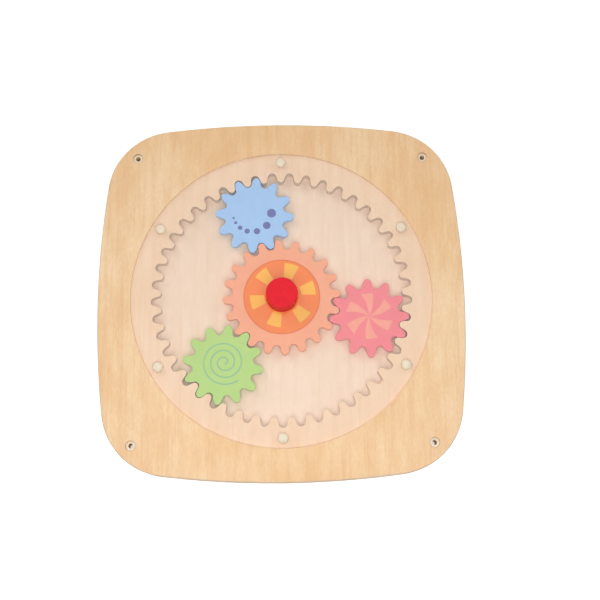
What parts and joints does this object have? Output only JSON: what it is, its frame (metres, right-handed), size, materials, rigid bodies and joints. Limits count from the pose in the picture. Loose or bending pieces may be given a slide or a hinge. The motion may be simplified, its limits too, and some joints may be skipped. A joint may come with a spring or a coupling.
{
  "type": "wooden crank gear toy panel",
  "caption": "Square wooden play panel with a toothed ring cut into it, painted sun and planet gears turned by a round red knob, and a clear cover let in flush.",
  "frame": {"origin": "centre of the panel's flat back face", "axes": "+Z out of the panel's face, along the knob's axis; +Y to the panel's top edge as it hangs on a wall; +X to the right as seen from the front"},
  "size_m": [0.375, 0.375, 0.0335],
  "materials": {
    "birch_plywood": "satin lacquer",
    "clear_acrylic": "clear, polished",
    "zinc_plated_steel": "satin",
    "white_nylon": "moulded",
    "cream_cap_plastic": "gloss",
    "orange_paint": "painted, satin",
    "blue_paint": "painted, satin",
    "pink_paint": "painted, satin",
    "green_paint": "painted, satin",
    "red_lacquer": "gloss lacquer"
  },
  "bodies": {
    "board": {"front_board": "birch_plywood", "back_board": "birch_plywood", "cover_disc": "clear_acrylic", "cover_screws": "zinc_plated_steel", "cap_washers": "cream_cap_plastic", "screw_caps": "cream_cap_plastic", "axle_pin": "zinc_plated_steel", "thrust_washer": "white_nylon"},
    "crank": {"sun_gear": "orange_paint", "knob": "red_lacquer", "crank_bush": "white_nylon"},
    "carrier": {"planet_carrier": "zinc_plated_steel", "carrier_bush": "white_nylon", "planet_pins": "zinc_plated_steel"},
    "blue_planet": {"blue_gear": "blue_paint", "blue_bush": "white_nylon"},
    "pink_planet": {"pink_gear": "pink_paint", "pink_bush": "white_nylon"},
    "green_planet": {"green_gear": "green_paint", "green_bush": "white_nylon"}
  },
  "joints": [
    {"name": "crank_turn", "type": "hinge", "parent": "board", "child": "crank", "pos_m": [0, 0, 0.0115], "axis": [0, 0, 1], "continuous": true},
    {"name": "carrier_turn", "type": "hinge", "parent": "board", "child": "carrier", "pos_m": [0, 0, 0.0115], "axis": [0, 0, 1], "continuous": true},
    {"name": "blue_spin", "type": "hinge", "parent": "carrier", "child": "blue_planet", "pos_m": [-0.02774, 0.08772, 0.0115], "axis": [0, 0, 1], "continuous": true},
    {"name": "pink_spin", "type": "hinge", "parent": "carrier", "child": "pink_planet", "pos_m": [0.08915, -0.02272, 0.0115], "axis": [0, 0, 1], "continuous": true},
    {"name": "green_spin", "type": "hinge", "parent": "carrier", "child": "green_planet", "pos_m": [-0.05988, -0.06984, 0.0115], "axis": [0, 0, 1], "continuous": true}
  ],
  "couplings": [
    {"joint": "carrier_turn", "follows": "crank_turn", "ratio": 0.30769},
    {"joint": "blue_spin", "follows": "crank_turn", "ratio": -1.1538},
    {"joint": "pink_spin", "follows": "crank_turn", "ratio": -1.1538},
    {"joint": "green_spin", "follows": "crank_turn", "ratio": -1.1538}
  ]
}
